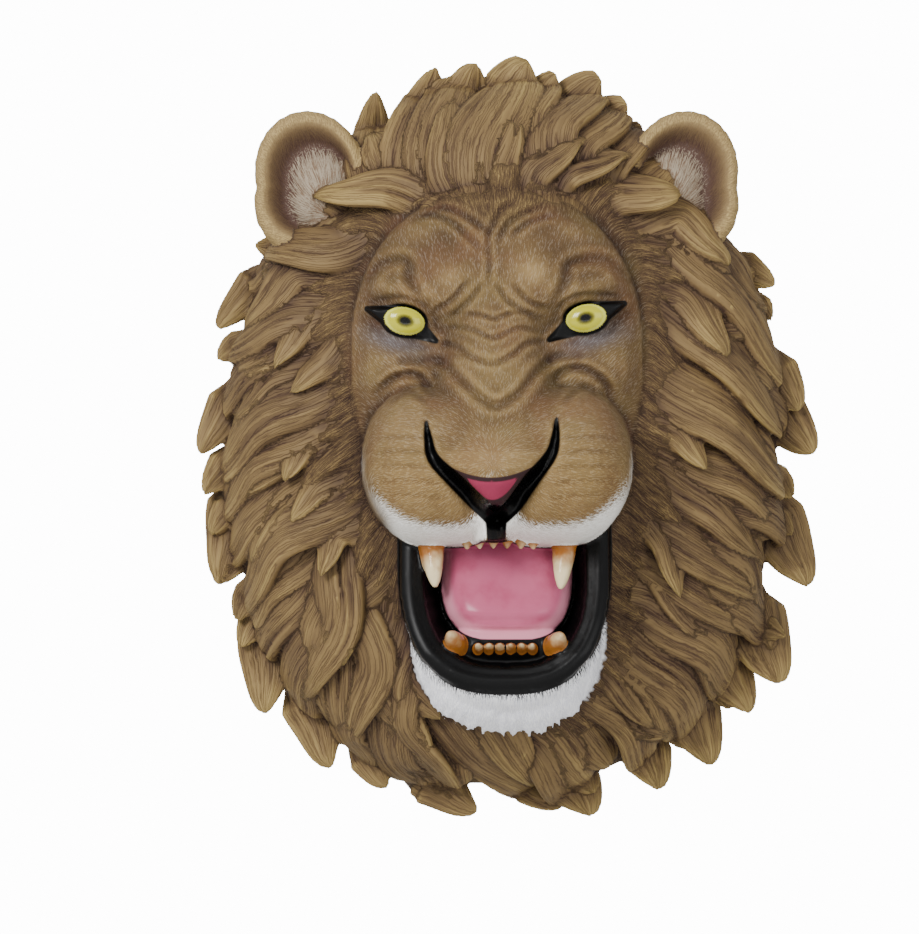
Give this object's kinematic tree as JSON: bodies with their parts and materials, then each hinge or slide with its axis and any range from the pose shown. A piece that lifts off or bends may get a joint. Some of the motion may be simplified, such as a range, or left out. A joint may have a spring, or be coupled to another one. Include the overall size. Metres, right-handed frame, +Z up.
{
  "type": "lion head wall mask",
  "caption": "Roaring lion head in high relief with flat back, carved mane, open jaws and set-in glassy eyes, hung on a wall as a mask.",
  "frame": {"origin": "on the flat back, at the middle of the face and half the height of the outline", "axes": "+Z up, +X to the right of someone who looks at the face, +Y into the wall; the lion faces -Y"},
  "size_m": [0.3317, 0.1758, 0.4075],
  "materials": {
    "painted_resin": "hand painted, matt",
    "eye": "clear gloss"
  },
  "bodies": {
    "root": {"head": "painted_resin", "left_eye": "eye", "right_eye": "eye"}
  },
  "joints": []
}
